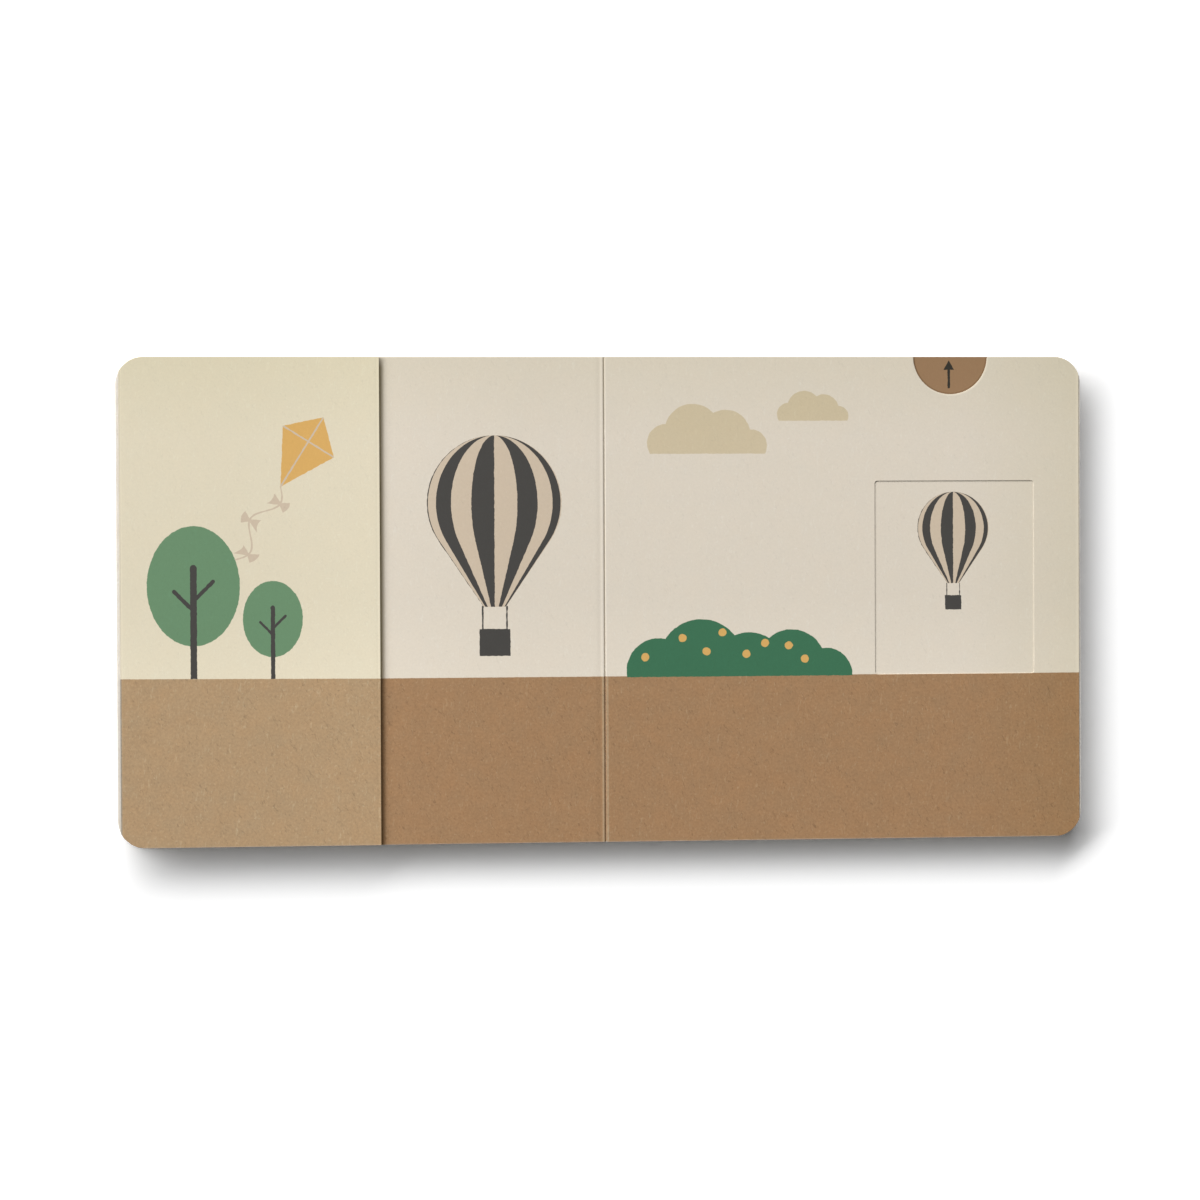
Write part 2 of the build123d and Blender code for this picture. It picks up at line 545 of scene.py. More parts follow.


# Finishes


# Painted shade on the printed paper, a little yellow, darker towards the right fore-edge and the head: its
# full colour, how far in mm it reaches in from the right fore-edge and from the head, and its share at the
# head
EDGE_PAINTED_SHADE = (0.92, 0.92, 0.86)
EDGE_SHADE_WIDTH = 45.0
HEAD_SHADE_DEPTH = 30.0
HEAD_SHADE_SHARE = 0.7
# The pale field is a little paler just above the ground, over this height in mm
PALER = (1.07, 1.07, 1.07)
PALER_HEIGHT = 30.0
# Both sides of the flap's free edge are a little paler, over this width in mm
LIFTED = (1.05, 1.05, 1.05)
LIFTED_WIDTH = 55.0
# The rim of the thumb notch has a painted highlight on the side that faces the lamp
NOTCH_HIGHLIGHT = (1.16, 1.16, 1.14)
# Radius of the fold between a cover and its half of the spine, and how deep the brown paper goes, in mm
SPINE_FOLD = 1.0
WRAP_DEPTH = 0.2
# Share of painted shade on the paper in the gutter and under the rim of the thumb notch
GUTTER_PAINTED_SHADE = 0.4
NOTCH_PAINTED_SHADE = 0.5
# Cut edges are darker at the head of the book: the factor, and how far in mm it reaches down
HEAD_DARKENING = (0.86, 0.84, 0.8)
HEAD_DARKENING_WIDTH = 0.6
# The ground printed on the flap climbs a little towards the fold, in mm for each mm
FLAP_SLANT = 0.006
# Cells in mm of the parts of the paper's grain
MOTTLE_CELL = 9.0
TINT_CELL = 7.0
GRAIN_CELL = 0.9
FIBRE_CELL = 0.75
SPECK_CELL = 1.0
TOOTH_CELL = 0.3
# Noise at which a fibre or a speck starts to show, and how sharply it does
FIBRE_START, FIBRE_EDGE = 0.62, 8.0
SPECK_START, SPECK_EDGE = 0.72, 10.0
# How strongly the parts of the grain change the ink's brightness and its warmth, and fibres the paper's tooth
MOTTLE_SHADE, GRAIN_SHADE, FIBRE_SHADE, SPECK_SHADE, DARK_SHADE = 0.12, 0.4, 0.21, 0.18, 0.22
TINT_WARMTH, PALE_WARMTH = 0.1, 0.35
FIBRE_TOOTH = 0.6
# Share of the grain that shows in the pale fields, where the brown ones have all of it
PALE_GRAIN = 0.22
# Softness in mm of lines of wear and of painted shade, and the shares of ink gone from the gutter's lips in
# the pale and the brown field and from the tail edge, and of the line along the fold, part wear and part
# painted shade, with what the fold has more in the brown field
WEAR_AND_SHADE_EDGE = 0.4
PALE_LIP, BROWN_LIP = 0.12, 0.3
TAIL_RUB = 0.5
FOLD_WEAR_AND_SHADE, BROWN_FOLD_WEAR_AND_SHADE = 0.5, 0.4
# Roughness of printed paper, brown paper and bare board, and how much it varies
PRINT_ROUGHNESS, PRINT_SPREAD = 0.7, 0.2
WRAP_ROUGHNESS, WRAP_SPREAD = 0.72, 0.25
BOARD_ROUGHNESS, BOARD_SPREAD = 0.8, 0.15
# Depth of the bump of printed paper, of bare board and brown paper, and of the leaves' edges, in mm
PRINT_BUMP = 0.02
BOARD_BUMP = 0.03
LEAF_BUMP = 0.04
# Plies of cut board in the sheets, the leaves and the covers: their darker colour, the noise at which it
# starts to show and how sharply it does
SHEET_PLY = (linear(203, 195, 182), 0.45, 2.2)
LEAF_PLY = (linear(205, 197, 185), 0.42, 2.4)
COVER_PLY = (linear(201, 192, 177), 0.42, 2.4)
# Glue inside a leaf, print on its faces seen from the edge, and brown paper where it is scuffed
GLUE_LINE = linear(186, 170, 142)
LEAF_PRINT = linear(206, 190, 160)
RUBBED_WRAP = linear(206, 186, 158)
# Motifs, in mm. Trees: foot along the ground, height and half-axes of the crown
FLAP_TREES = ((-152, 34, 17, 22), (-123, 22, 11, 14))
CARD_TREE = (27, 13, 16)
# Kite: middle, turn in degrees and half-axes
FLAP_KITE = ((-112, 55), -32, 11, 15)
# Balloons: middle and radius, on the card from the arrow's middle line
PAGE_BALLOON = ((-41, 36), 25)
CARD_BALLOON = ((1, 26), 13.5)
# Clouds: middle and scale
CLOUDS = (((38, 57), 1.0), ((78, 68), 0.6))
# Bushes: place along the ground, height above it and radius, and berries by place and height
BUSHES = ((20, 2, 12), (36, 5, 16), (54, 2, 14), (70, 4, 13), (83, 0, 10))
BERRIES = ((15, 7), (29, 14), (38, 9), (44, 16), (53, 8), (60, 12), (69, 11), (75, 6))
BERRY_RADIUS = 1.5
# Pull card: height of its brown grip, drop of its ground below the page's, and the run below the page's
# ground over which its pale field stops being paler
GRIP_HEIGHT = 24
CARD_GROUND_DROP = 46
CARD_PALER_FADE = 5.0
# Arrow on the grip: its tip from the middle of the notch, length and width of its head, width and length of
# its shaft
ARROW_TIP = (-0.45, -1.3)
ARROW_SIZES = (3.5, 3.8, 0.95, 7.0)


def paper_grain(paint, strength):
    """Uncoated stock under ink: slow mottling, fine grain, pale specks, and light and dark fibres that bend.

    Gives the factor that multiplies the ink's colour, and the tooth of the paper as a height.
    """
    mottle = paint.noise(MOTTLE_CELL, detail=3.0) - 0.5
    tint = paint.noise(TINT_CELL) - 0.5
    fine = paint.noise(GRAIN_CELL) - 0.5
    fibre = paint.noise(FIBRE_CELL, detail=1.0, stretch=(1.0, 4.0, 1.0), turn=0.12, bend=1.2)
    dark_fibre = paint.noise(FIBRE_CELL, detail=1.0, stretch=(1.0, 3.0, 1.0), turn=-0.5, bend=1.2)
    speck = paint.noise(SPECK_CELL, detail=0.0)
    light = ((fibre - FIBRE_START) * FIBRE_EDGE).clamped()
    dark = (((1.0 - FIBRE_START) - dark_fibre) * FIBRE_EDGE).clamped()
    bright = ((speck - SPECK_START) * SPECK_EDGE).clamped()
    pale = light * FIBRE_SHADE + bright * SPECK_SHADE
    shade = 1.0 + (mottle * MOTTLE_SHADE + fine * GRAIN_SHADE + pale - dark * DARK_SHADE) * strength
    warm = (tint * TINT_WARMTH - pale * PALE_WARMTH) * strength
    tooth = paint.noise(TOOTH_CELL, detail=3.0) + fibre * FIBRE_TOOTH
    return paint.colour(shade * (1.0 + warm), shade, shade * (1.0 - warm)), tooth


def edge_wear_and_shade(paint, colours, earth):
    """Ink gone at the gutter and the tail, and a line along the fold that is part wear and part painted
    shade, as pairs of a share and a colour, for the gutter, the tail and the fold.

    The gutter and the fold show it more where the ground is printed, which earth gives as 1.
    """
    patchy = paint.noise(3.0)
    from_gutter = abs(paint.x) - GUTTER_X
    from_tail = paint.y + HALF_HEIGHT
    from_fold = paint.x + FOLD_X
    lip_place, lip_half, tail_width, crease_place, crease_half = 0.65, 0.35, 0.3, 0.2, 0.3
    lip = inside(abs(from_gutter - lip_place) - lip_half, WEAR_AND_SHADE_EDGE)
    tail = inside(from_tail - tail_width, WEAR_AND_SHADE_EDGE)
    # Line along the fold: part wear, part painted shade in the crease
    crease = inside(abs(from_fold - crease_place) - crease_half, WEAR_AND_SHADE_EDGE)
    return [
        (PALE_LIP * (1.0 - earth) * lip, colours.board_core),
        (BROWN_LIP * earth * lip, colours.beige),
        (TAIL_RUB * patchy * tail, colours.board_core),
        ((FOLD_WEAR_AND_SHADE + BROWN_FOLD_WEAR_AND_SHADE * earth) * crease, colours.crease),
    ]


def paler_above(paint, ground_y):
    """1 at the ground's edge, falling to 0 at the height up to which the pale field is paler."""
    return ((ground_y + PALER_HEIGHT - paint.y) / PALER_HEIGHT).clamped()


def printed_paper(paint, sky, ground, layers, colours, ground_y, tones=()):
    """A pale field over a brown one with motifs inked on top, all on grained paper, as a finished material.

    Layers are pairs of a distance and an ink, laid one after the other. The paper has painted shade towards
    the right fore-edge and the head, and tones are pairs of a share and a colour that multiplies the print,
    such as painted shade and painted highlights, on top of that.
    """
    wobble = (paint.noise(WOBBLE_CELL) - 0.5) * INK_WOBBLE
    earth = inside(paint.y - ground_y + wobble * GROUND_WOBBLE)
    pale_field = paint.mix(paler_above(paint, ground_y), sky, np.multiply(sky, PALER))
    colour = paint.mix(earth, pale_field, ground)
    for distance, dye in layers:
        colour = paint.mix(inside(distance + wobble), colour, dye)
    # Wear, and the painted shade along the fold
    for wear_and_shade_share, wear_and_shade_colour in edge_wear_and_shade(paint, colours, earth):
        colour = paint.mix(wear_and_shade_share, colour, wear_and_shade_colour)
    # Painted shade: the print gets darker towards the right fore-edge and the head
    shade_to_fore_edge = ((paint.x - (PAGE_WIDTH - EDGE_SHADE_WIDTH)) / EDGE_SHADE_WIDTH).clamped()
    shade_to_head = ((paint.y - (HALF_HEIGHT - HEAD_SHADE_DEPTH)) / HEAD_SHADE_DEPTH).clamped()
    for toned, tone in ((shade_to_fore_edge, EDGE_PAINTED_SHADE), (shade_to_head * HEAD_SHADE_SHARE, EDGE_PAINTED_SHADE), *tones):
        colour = paint.mix(toned, colour, tone, blend="MULTIPLY")
    grain, tooth = paper_grain(paint, PALE_GRAIN + (1.0 - PALE_GRAIN) * earth)
    colour = paint.mix(1.0, colour, grain, blend="MULTIPLY")
    roughness = PRINT_ROUGHNESS + (paint.noise(4.0) - 0.5) * PRINT_SPREAD
    return paint.finish(colour, roughness, tooth, PRINT_BUMP)


def balloon_layers(shapes, colours):
    """Inks of a striped balloon."""
    envelope, stripes, ropes, basket = shapes
    return [
        (ropes, colours.charcoal),
        (envelope, colours.taupe),
        (stripes, colours.charcoal),
        (basket, colours.charcoal),
    ]


def beside_flap(paint, flap_edge):
    """The paler tone on both sides of the flap's free edge, as a share and a colour."""
    return ((LIFTED_WIDTH - abs(paint.x + flap_edge)) / LIFTED_WIDTH).clamped(), LIFTED


def flap_print(colours, ground_y, flap_edge):
    """Front of the flap: two trees on the ground and a kite above them."""
    paint = Paint("flap_print")
    x, y = paint.x, paint.y
    layers = []
    for foot_x, *crown_sizes in FLAP_TREES:
        foot = (foot_x, ground_y + (-flap_edge - foot_x) * FLAP_SLANT)
        crown, trunk = tree(x, y, foot, *crown_sizes)
        layers += [(crown, colours.flap_green), (trunk, colours.charcoal)]
    sail, spars, tail = kite(x, y, *FLAP_KITE)
    layers += [(tail, colours.taupe), (sail, colours.ochre), (spars, colours.taupe)]
    return printed_paper(
        paint, colours.flap_sky, colours.flap_ground, layers, colours,
        ground_y + (-flap_edge - x) * FLAP_SLANT, tones=[beside_flap(paint, flap_edge)],
    )


def left_page_print(colours, ground_y, flap_edge):
    """Left page: a large striped balloon, and a painted shadow of the flap beside its free edge."""
    paint = Paint("left_page_print")
    layers = balloon_layers(balloon(paint.x, paint.y, *PAGE_BALLOON), colours)
    # Painted shadow of the flap: a dark band beside its free edge that fades in below the head
    shadow_place, shadow_half, wear_and_shadow_edge, shadow_start = 0.1, 1.0, 2.0, 4.0
    wear_and_painted_shadow = inside(abs(paint.x + flap_edge - shadow_place) - shadow_half, wear_and_shadow_edge)
    below_head = ((HALF_HEIGHT - paint.y) / shadow_start).clamped()
    return printed_paper(
        paint, colours.page_sky, colours.page_ground, layers, colours, ground_y,
        tones=[(wear_and_painted_shadow * below_head, colours.painted_shade), beside_flap(paint, flap_edge)],
    )


def gutter_print(colours, ground_y):
    """Paper in the gutter: the two fields of both pages run on across it, with painted shade over it all."""
    return printed_paper(
        Paint("gutter_print"), colours.page_sky, colours.page_ground, [], colours, ground_y,
        # Painted shade over the whole gutter
        tones=[(GUTTER_PAINTED_SHADE, colours.painted_shade)],
    )


def right_page_print(colours, ground_y, notch_x, notch_radius):
    """Right page: two clouds over a row of bushes with berries, and a painted highlight on the rim of the
    thumb notch.
    """
    paint = Paint("right_page_print")
    x, y = paint.x, paint.y
    layers = [(cloud(x, y, *place), colours.beige) for place in CLOUDS]
    berries = [disc(x, y, (along, ground_y + up), BERRY_RADIUS) for along, up in BERRIES]
    layers += [(bushes(x, y, ground_y, BUSHES), colours.page_green), (least(*berries), colours.ochre)]
    # Painted highlight on the rim of the thumb notch, strongest on the side that faces the lamp
    highlight_place, highlight_half, highlight_edge = 0.3, 0.25, 0.35
    rim = inside(abs(disc(x, y, (notch_x, HALF_HEIGHT), notch_radius) - highlight_place) - highlight_half, highlight_edge)
    pressed = ((0.6 * (x - notch_x) + 0.8 * (HALF_HEIGHT - y)) / notch_radius).clamped()
    return printed_paper(
        paint, colours.page_sky, colours.page_ground, layers, colours, ground_y,
        tones=[(rim * pressed, NOTCH_HIGHLIGHT)],
    )


def pull_card_print(colours, ground_y, arrow_x, notch_radius):
    """Pull card: a small balloon that shows at rest, a tree that shows when pulled, and the brown grip.

    The grip has painted shade along a line under the edge of the thumb notch.
    """
    paint = Paint("pull_card_print")
    x, y = paint.x, paint.y
    card_ground = ground_y - CARD_GROUND_DROP
    crown, trunk = tree(x, y, (arrow_x, card_ground), *CARD_TREE)
    (aside, up), radius = CARD_BALLOON
    tip = (arrow_x + ARROW_TIP[0], HALF_HEIGHT + ARROW_TIP[1])
    layers = balloon_layers(balloon(x, y, (arrow_x + aside, up), radius), colours)
    layers += [
        (crown, colours.page_green),
        (trunk, colours.charcoal),
        (HALF_HEIGHT - GRIP_HEIGHT - y, colours.grip),
        (up_arrow(x, y, tip, *ARROW_SIZES), colours.grip_mark),
    ]
    # Painted shade on the grip under the edge of the thumb notch
    shade_place, shade_half = 0.3, 0.25
    shade_painted = inside(abs(disc(x, y, (arrow_x, HALF_HEIGHT), notch_radius) + shade_place) - shade_half, WEAR_AND_SHADE_EDGE)
    in_window = ((y - ground_y + CARD_PALER_FADE) / CARD_PALER_FADE).clamped()
    return printed_paper(
        paint, colours.page_sky, colours.page_ground, layers, colours, card_ground,
        tones=[(shade_painted * NOTCH_PAINTED_SHADE, colours.painted_shade), (paler_above(paint, ground_y) * in_window, PALER)],
    )


def darker_at_head(paint, colour):
    """A colour of cut edges, made darker at the head."""
    at_head = inside(HALF_HEIGHT - paint.y - HEAD_DARKENING_WIDTH, softness=0.8)
    return paint.mix(at_head, colour, HEAD_DARKENING, blend="MULTIPLY")


def plied(paint, colours, plies, dark, start, edge):
    """Cut board: its pale colour, with a darker one where the noise of its plies is high."""
    return paint.mix(((plies - start) * edge).clamped(), colours.board_core, dark)


def cut_board(colours):
    """Cut edges and bare sides of the sheets: pale board with fibres along the ply."""
    paint = Paint("cut_board")
    plies = paint.noise(0.5, detail=3.0, stretch=(12.0, 12.0, 0.5))
    grain, tooth = paper_grain(paint, 0.5)
    colour = plied(paint, colours, plies, *SHEET_PLY)
    colour = darker_at_head(paint, paint.mix(1.0, colour, grain, blend="MULTIPLY"))
    return paint.finish(colour, BOARD_ROUGHNESS + (plies - 0.5) * BOARD_SPREAD, tooth + plies, BOARD_BUMP)


def leaf_edges(name, colours, base, top, leaf_thickness):
    """Leaves seen on their cut edges: pale plies, a glue line in each and a line of print between leaves."""
    paint = Paint(name)
    height = (paint.z - base).remainder(leaf_thickness)
    from_face = least(height, leaf_thickness - height)
    plies = paint.noise(0.45, detail=3.0, stretch=(16.0, 16.0, 0.5))
    bare_top, print_depth, glue_half, line_edge = 0.6, 0.16, 0.05, 0.1
    between = inside(paint.z - top + bare_top, softness=0.2)
    uneven = 0.35 + 0.65 * paint.noise(30.0, detail=1.0)
    skin = inside(from_face - print_depth, line_edge) * uneven * between
    glue = inside(abs(height - leaf_thickness / 2) - glue_half, line_edge) * 0.5
    colour = plied(paint, colours, plies, *LEAF_PLY)
    colour = paint.mix(glue, colour, GLUE_LINE)
    colour = paint.mix(skin, colour, LEAF_PRINT)
    grain, tooth = paper_grain(paint, 0.4)
    colour = darker_at_head(paint, paint.mix(1.0, colour, grain, blend="MULTIPLY"))
    roughness = BOARD_ROUGHNESS + (plies - 0.5) * BOARD_SPREAD
    return paint.finish(colour, roughness, tooth + plies * 1.5, LEAF_BUMP)


def cover_stock(colours):
    """Covers: brown paper round the outside and up the spine, scuffed at the edges, pale board where cut."""
    paint = Paint("cover_stock")
    from_fore_edge = PAGE_WIDTH - abs(paint.x)
    from_sides = HALF_HEIGHT - abs(paint.y)
    wear = paint.noise(5.0, detail=4.0)
    from_edge = least(from_fore_edge, from_sides)
    # Here the mask of the scuffed edges is wear only, with no painted shadow
    rub_width, wear_and_shadow_edge, rub_share = 0.6, 0.8, 0.55
    wear_and_painted_shadow = inside(from_edge - rub_width + wear, wear_and_shadow_edge) * rub_share
    across = most(GUTTER_X + SPINE_FOLD - abs(paint.x), 0.0)
    up = most(SPINE_FOLD - paint.z, 0.0)
    wrapped = inside(-disc(across, up, (0.0, 0.0), SPINE_FOLD) - WRAP_DEPTH, softness=0.06)
    plies = paint.noise(0.5, detail=3.0, stretch=(14.0, 14.0, 0.5))
    paper = paint.mix(wear_and_painted_shadow, colours.wrap, RUBBED_WRAP)
    colour = paint.mix(wrapped, plied(paint, colours, plies, *COVER_PLY), paper)
    grain, tooth = paper_grain(paint, 1.0)
    colour = paint.mix(1.0, colour, grain, blend="MULTIPLY")
    return paint.finish(colour, WRAP_ROUGHNESS + (wear - 0.5) * WRAP_SPREAD, tooth + plies, BOARD_BUMP)


def spine_paper(colours):
    """Outside of the paper that joins the halves: the covers' brown paper."""
    paint = Paint("spine_paper")
    wear = paint.noise(5.0, detail=4.0)
    grain, tooth = paper_grain(paint, 1.0)
    colour = paint.mix(1.0, colours.wrap, grain, blend="MULTIPLY")
    return paint.finish(colour, WRAP_ROUGHNESS + (wear - 0.5) * WRAP_SPREAD, tooth, BOARD_BUMP)


# Surfaces


# Points closer than this are one, edges shorter than this have no face, in metres
WELD = 1e-7
SLIVER = 1e-8
# Edges that turn by more than this many degrees are shaded as sharp
SHARP_TURN = 40
# Power of the superellipse that the fold's outer side follows
FOLD_SQUARENESS = 5.0
# Sheets have closer points over this run in from an edge, in mm
FINE_RUN = 4.0
# Steps of the arc at a corner
CORNER_STEPS = 12


def new_piece(name, points, materials, face_material, round_rows=False, round_columns=False):
    """A mesh object on a grid of points in mm: a quad joins each four neighbours.

    The grid may close on itself along its rows or its columns. Points that coincide are merged, which
    closes seams and poles, and faces are turned outwards. face_material holds one index for each quad.
    """
    rows, columns = points.shape[:2]
    ids = np.arange(rows * columns).reshape(rows, columns)
    if round_rows:
        ids = np.concatenate([ids, ids[:1]])
    if round_columns:
        ids = np.concatenate([ids, ids[:, :1]], axis=1)
    quads = np.stack([ids[:-1, :-1], ids[1:, :-1], ids[1:, 1:], ids[:-1, 1:]], axis=-1).reshape(-1, 4)
    mesh = bpy.data.meshes.new(name)
    mesh.from_pydata((points.reshape(-1, 3) * MM).tolist(), [], quads.tolist())
    mesh.polygons.foreach_set("material_index", np.asarray(face_material, np.int32).ravel())
    work = bmesh.new()
    work.from_mesh(mesh)
    bmesh.ops.remove_doubles(work, verts=work.verts, dist=WELD)
    bmesh.ops.dissolve_degenerate(work, edges=work.edges, dist=SLIVER)
    bmesh.ops.recalc_face_normals(work, faces=work.faces)
    work.to_mesh(mesh)
    work.free()
    mesh.shade_smooth()
    mesh.set_sharp_from_angle(angle=math.radians(SHARP_TURN))
    for material in materials:
        mesh.materials.append(material)
    piece = bpy.data.objects.new(name, mesh)
    bpy.context.scene.collection.objects.link(piece)
    return piece


def graded(count, bands=((0.006, 7), (0.024, 7), (0.07, 10))):
    """Shares from 0 to 1 without the last one: even in the middle, and closer in bands towards both ends."""
    stops = np.array([0.0] + [stop for stop, steps in bands])
    rising = np.concatenate([
        np.linspace(start, stop, steps, endpoint=False) for start, (stop, steps) in zip(stops, bands)
    ])
    middle = np.linspace(stops[-1], 1 - stops[-1], count)
    return np.concatenate([rising, middle, 1 - rising[:0:-1]])


def arc(centre, radius, start, stop, steps=24):
    """Points on a circle about a centre, from one angle in degrees to another."""
    angle = np.radians(np.linspace(start, stop, steps + 1))
    return np.asarray(centre) + radius * np.stack([np.cos(angle), np.sin(angle)], axis=-1)


def along(points, shares):
    """Points at these shares of a polyline's length."""
    steps = np.hypot(*np.diff(points, axis=0).T)
    travelled = np.concatenate([[0], np.cumsum(steps)]) / steps.sum()
    return np.stack([np.interp(shares, travelled, axis) for axis in points.T], axis=-1)


def inward(loop):
    """Unit normals of a closed loop that runs anticlockwise, to its left."""
    tangent = np.roll(loop, -1, axis=0) - np.roll(loop, 1, axis=0)
    tangent /= np.hypot(*tangent.T)[:, None]
    return np.stack([-tangent[:, 1], tangent[:, 0]], axis=-1)


def rounded_polygon(points, radii):
    """A closed loop through corners, each replaced by the arc of its radius that touches both its sides.

    The arc's centre lies on the corner's bisector, radius / sin(half angle) from the corner.
    """
    points = np.asarray(points, float)
    loop = []
    for before, corner, after, radius in zip(np.roll(points, 1, 0), points, np.roll(points, -1, 0), radii):
        back = (before - corner) / np.hypot(*(before - corner))
        ahead = (after - corner) / np.hypot(*(after - corner))
        half = math.acos(np.clip(back @ ahead, -1, 1)) / 2
        bisector = (back + ahead) / np.hypot(*(back + ahead))
        centre = corner + bisector * radius / math.sin(half)
        touch = corner + back * radius / math.tan(half) - centre
        start = math.degrees(math.atan2(touch[1], touch[0]))
        side = np.sign(back[1] * ahead[0] - back[0] * ahead[1])
        stop = start + side * (180 - 2 * math.degrees(half))
        loop.append(arc(centre, radius, start, stop, CORNER_STEPS))
    return np.concatenate(loop)


def half_height(reach, corner_radius):
    """Half-height of the page outline at a distance from the gutter: straight, then the corner's arc."""
    into_corner = np.clip(reach - (PAGE_WIDTH - corner_radius), 0, corner_radius)
    return HALF_HEIGHT - corner_radius + np.sqrt(corner_radius**2 - into_corner**2)


def bell(distance, place, width):
    """A bell curve of height 1 about its place."""
    return np.exp(-(((distance - place) / width) ** 2))


def round_off(distance, radius):
    """How far an edge of that radius falls below its face, at a distance in from the edge."""
    short = np.clip(radius - distance, 0, radius)
    return radius - np.sqrt(radius**2 - short**2)


def folded_sheet(path, normal, above, below, half_width, rim):
    """A folded sheet as a rounded flat section carried along a path, and the side that each face is on.

    At each point of the path the section runs once round the sheet: across its upper face, over the head
    edge, back across its lower face and over the tail edge. Its corners are quarter circles of the rim's
    radius. A point lies off the path, along the path's normal, by its share of the height above or
    below it. The first and last sections are pressed flat, which closes the ends.
    Sides are 0 for the upper face, 1 for a cut edge and 2 for the lower face.
    """
    shares = 2 * np.append(graded(24, ((0.004, 3), (0.02, 3))), 1) - 1
    turn = np.radians(np.linspace(0, 90, 6))
    rising = turn[:-1]
    falling = turn[::-1][1:]
    parts = (
        (shares, 0 * shares, 1, 1 + 0 * shares),
        (1 + 0 * falling, np.cos(falling), 1, np.sin(falling)),
        (1 + 0 * rising, np.cos(rising), -1, -np.sin(rising)),
        (shares[::-1], 0 * shares, -1, -1 + 0 * shares),
        (-1 + 0 * falling, -np.cos(falling), -1, -np.sin(falling)),
        (-1 + 0 * rising, -np.cos(rising), 1, np.sin(rising)),
    )
    flat, bulge, face, rise = (
        np.concatenate([part[index] + 0 * part[0] for part in parts]) for index in range(4)
    )
    half = (above + below)[:, None] / 2
    middle = (above - below)[:, None] / 2
    rim_rise = np.minimum(rim, half)
    offset = middle + face * (half - rim_rise) + rise * rim_rise
    place = path[:, None, :] + normal[:, None, :] * offset[..., None]
    width = half_width(np.abs(place[..., 0]))
    points = np.stack([place[..., 0], flat * (width - rim) + bulge * rim, place[..., 1]], axis=-1)
    pressed = points.copy()
    pressed[..., 0] = (path[:, None, :] + normal[:, None, :] * middle[..., None])[..., 0]
    pressed[..., 2] = (path[:, None, :] + normal[:, None, :] * middle[..., None])[..., 1]
    points = np.concatenate([pressed[:1], points, pressed[-1:]])
    next_face = np.roll(face, -1)
    side = np.where(face == next_face, np.where(face > 0, 0, 2), 1)
    return points, side


def gatefold_surface(size):
    """The left page and its flap: a straight run, half a turn about the fold and a straight run back.

    The run starts with a rounded lip and a slight hollow at the gutter, and ends with the flap's cut edge.
    The fold is pressed: its outer side is a superellipse, whose radius at an angle is the round one over
    (cos^n + sin^n)^(1/n).
    Gives the points, the side of each face and which sections belong to the fold and the flap.
    """
    half = size.gatefold_thickness / 2
    base = PAGE_LEVEL - half
    bend = half + size.fold_gap / 2
    fold_centre = np.array([FOLD_X - size.gatefold_thickness - size.fold_gap / 2, base + bend])
    flap_end = np.array([size.flap_edge, PAGE_LEVEL + size.flap_lift + half])
    start = np.array([GUTTER_X, base])
    page_run = fold_centre[0] - GUTTER_X
    near = np.concatenate([
        size.gutter_lip * (1 - np.cos(np.radians(np.linspace(0, 90, 9)))),
        np.linspace(size.gutter_lip, FINE_RUN, 30)[1:],
        np.linspace(FINE_RUN, page_run, 40)[1:-1],
    ])
    page = start + near[:, None] * np.array([1.0, 0.0])
    fold = arc(fold_centre, bend, -90, 90, 28)
    flap_run = flap_end - fold[-1]
    flap_length = np.hypot(*flap_run)
    cut = size.card_rim * (1 - np.cos(np.radians(np.linspace(90, 0, 7))))
    before_cut = 0.3
    to_end = np.concatenate([
        np.linspace(flap_length, FINE_RUN, 40)[1:-1],
        np.linspace(FINE_RUN, before_cut, 30),
        cut,
    ])
    flap = flap_end - to_end[:, None] * flap_run / flap_length
    path = np.concatenate([page, fold, flap])
    in_fold = (fold_centre - fold) / bend
    in_flap = np.array([-flap_run[1], flap_run[0]]) / flap_length
    normal = np.concatenate([np.tile([0.0, 1.0], (len(page), 1)), in_fold, np.tile(in_flap, (len(flap), 1))])
    flat_fold = np.full(len(fold), half)
    powers = np.abs((fold - fold_centre) / bend) ** FOLD_SQUARENESS
    pressed_fold = (half + bend) / powers.sum(axis=1) ** (1 / FOLD_SQUARENESS) - bend
    at_cut = half - round_off(to_end, size.card_rim)
    hollow_width = np.where(near < size.hollow_place, size.hollow_width, size.hollow_run)
    pressed_in = size.hollow_depth * bell(near, size.hollow_place, hollow_width)
    lip = half - round_off(near, size.gutter_lip) - pressed_in
    hollow = size.flap_dip * bell(to_end, size.flap_dip_place, size.flap_dip_width)
    above = np.concatenate([lip, flat_fold, at_cut])
    below = np.concatenate([np.full(len(page), half), pressed_fold, at_cut - hollow])
    points, side = folded_sheet(
        path, normal, above, below, lambda reach: half_height(reach, size.corner_radius), size.card_rim
    )
    points[..., 0] *= -1
    return points, side, len(page), len(page) + len(fold)


